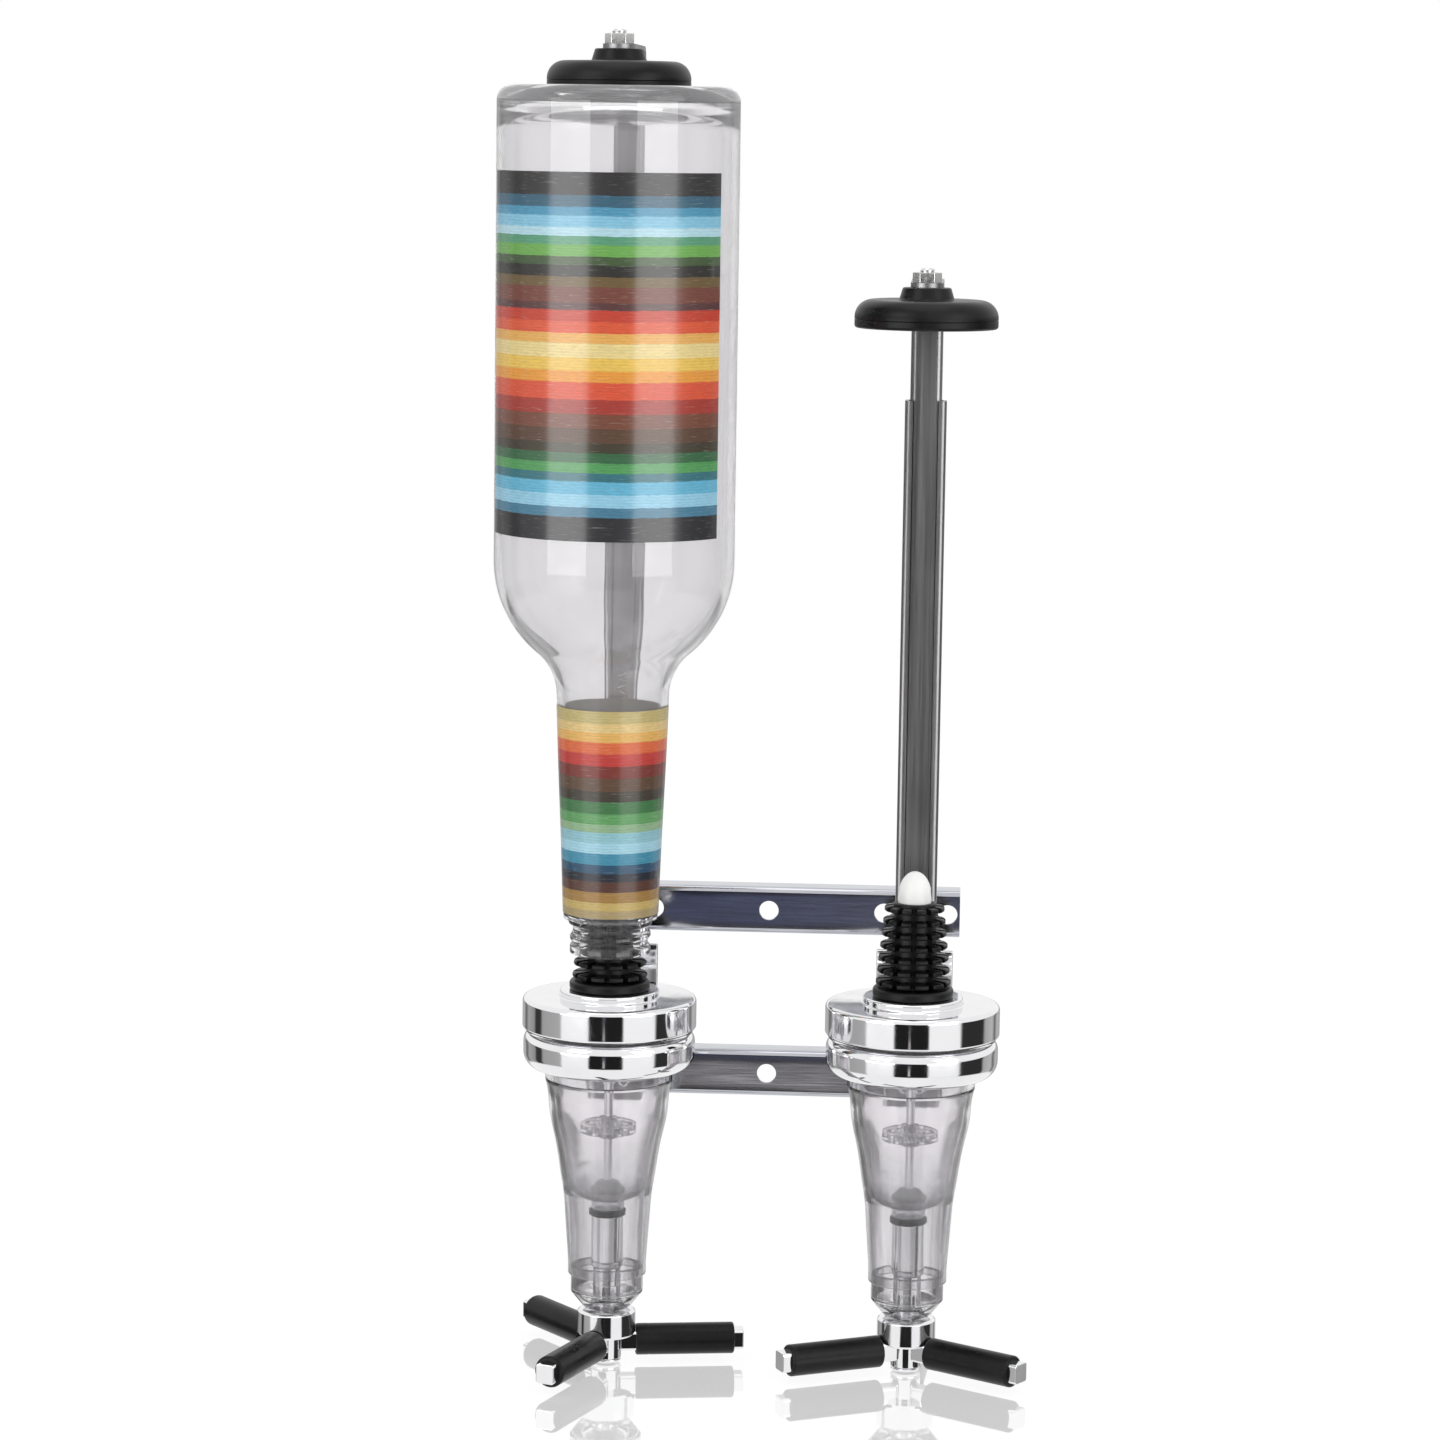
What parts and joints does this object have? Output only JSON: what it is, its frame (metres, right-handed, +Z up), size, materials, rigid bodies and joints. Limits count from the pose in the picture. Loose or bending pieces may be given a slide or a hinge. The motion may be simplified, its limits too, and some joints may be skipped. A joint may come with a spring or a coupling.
{
  "type": "liquor optic dispenser",
  "caption": "Wall bracket that holds upturned bottles under sprung telescopic arms and pours fixed measures through clear chambers with push-up triggers.",
  "frame": {"origin": "on the crossbar faces where the two centre wall screws bear, halfway between them", "axes": "+X right as seen from the front, +Y to the wall, +Z up"},
  "size_m": [0.1737, 0.1007, 0.4261],
  "materials": {
    "bracket_chrome": "plated sheet steel, lightly brushed",
    "optic_chrome": "polished chrome plate",
    "fastener_steel": "zinc-plated steel",
    "black_rubber": "moulded black rubber, satin",
    "clear_plastic": "clear moulded plastic",
    "white_plastic": "white moulded plastic",
    "bottle_glass": "clear flint glass",
    "label_paper": "printed paper label, horizontal woven-blanket stripes"
  },
  "bodies": {
    "bracket": {"upper_crossbar": "bracket_chrome", "lower_crossbar": "bracket_chrome", "left_track": "bracket_chrome", "right_track": "bracket_chrome", "track_rivets": "fastener_steel", "left_holder_ring": "optic_chrome", "right_holder_ring": "optic_chrome", "holder_screws": "fastener_steel", "holder_nuts": "fastener_steel", "spring_pins": "fastener_steel", "left_pull_spring": "fastener_steel", "right_pull_spring": "fastener_steel", "left_cap": "optic_chrome", "left_cap_gasket": "black_rubber", "left_chamber": "clear_plastic", "left_measure_bowl": "clear_plastic", "left_stopper": "black_rubber", "left_inlet_tube": "white_plastic", "left_outlet_seal": "black_rubber", "left_outlet_tube": "optic_chrome", "left_return_spring": "fastener_steel", "right_cap": "optic_chrome", "right_cap_gasket": "black_rubber", "right_chamber": "clear_plastic", "right_measure_bowl": "clear_plastic", "right_stopper": "black_rubber", "right_inlet_tube": "white_plastic", "right_outlet_seal": "black_rubber", "right_outlet_tube": "optic_chrome", "right_return_spring": "fastener_steel", "bottle": "bottle_glass", "bottle_label": "label_paper", "neck_label": "label_paper"},
    "left_arm": {"left_slider": "bracket_chrome", "left_pad": "black_rubber", "left_pad_bolt": "fastener_steel", "left_pad_nut": "fastener_steel"},
    "left_plunger": {"left_spindle": "fastener_steel", "left_inlet_valve": "black_rubber", "left_valve_disc": "white_plastic", "left_outlet_valve": "black_rubber", "left_nose": "clear_plastic", "left_spout": "optic_chrome"},
    "left_trigger": {"left_trigger_hub": "optic_chrome", "left_trigger_rods": "optic_chrome", "left_trigger_grips": "black_rubber"},
    "right_arm": {"right_slider": "bracket_chrome", "right_pad": "black_rubber", "right_pad_bolt": "fastener_steel", "right_pad_nut": "fastener_steel"},
    "right_plunger": {"right_spindle": "fastener_steel", "right_inlet_valve": "black_rubber", "right_valve_disc": "white_plastic", "right_outlet_valve": "black_rubber", "right_nose": "clear_plastic", "right_spout": "optic_chrome"},
    "right_trigger": {"right_trigger_hub": "optic_chrome", "right_trigger_rods": "optic_chrome", "right_trigger_grips": "black_rubber"}
  },
  "joints": [
    {"name": "left_arm_slide", "type": "slide", "parent": "bracket", "child": "left_arm", "axis": [0, 0, 1], "range_m": [0, 0.0476], "stiffness_N_per_m": 30, "springref_m": -0.1, "deforming": ["left_pull_spring"]},
    {"name": "left_pour", "type": "slide", "parent": "bracket", "child": "left_plunger", "axis": [0, 0, 1], "range_m": [0, 0.008], "stiffness_N_per_m": 300, "springref_m": -0.01, "deforming": ["left_return_spring"]},
    {"name": "left_trigger_turn", "type": "hinge", "parent": "left_plunger", "child": "left_trigger", "pos_m": [-0.0485, -0.049, -0.1058], "axis": [0, 0, 1], "continuous": true},
    {"name": "right_arm_slide", "type": "slide", "parent": "bracket", "child": "right_arm", "axis": [0, 0, 1], "range_m": [0, 0.12], "stiffness_N_per_m": 30, "springref_m": -0.1, "deforming": ["right_pull_spring"]},
    {"name": "right_pour", "type": "slide", "parent": "bracket", "child": "right_plunger", "axis": [0, 0, 1], "range_m": [0, 0.008], "stiffness_N_per_m": 300, "springref_m": -0.01, "deforming": ["right_return_spring"]},
    {"name": "right_trigger_turn", "type": "hinge", "parent": "right_plunger", "child": "right_trigger", "pos_m": [0.0485, -0.049, -0.1058], "axis": [0, 0, 1], "continuous": true}
  ]
}
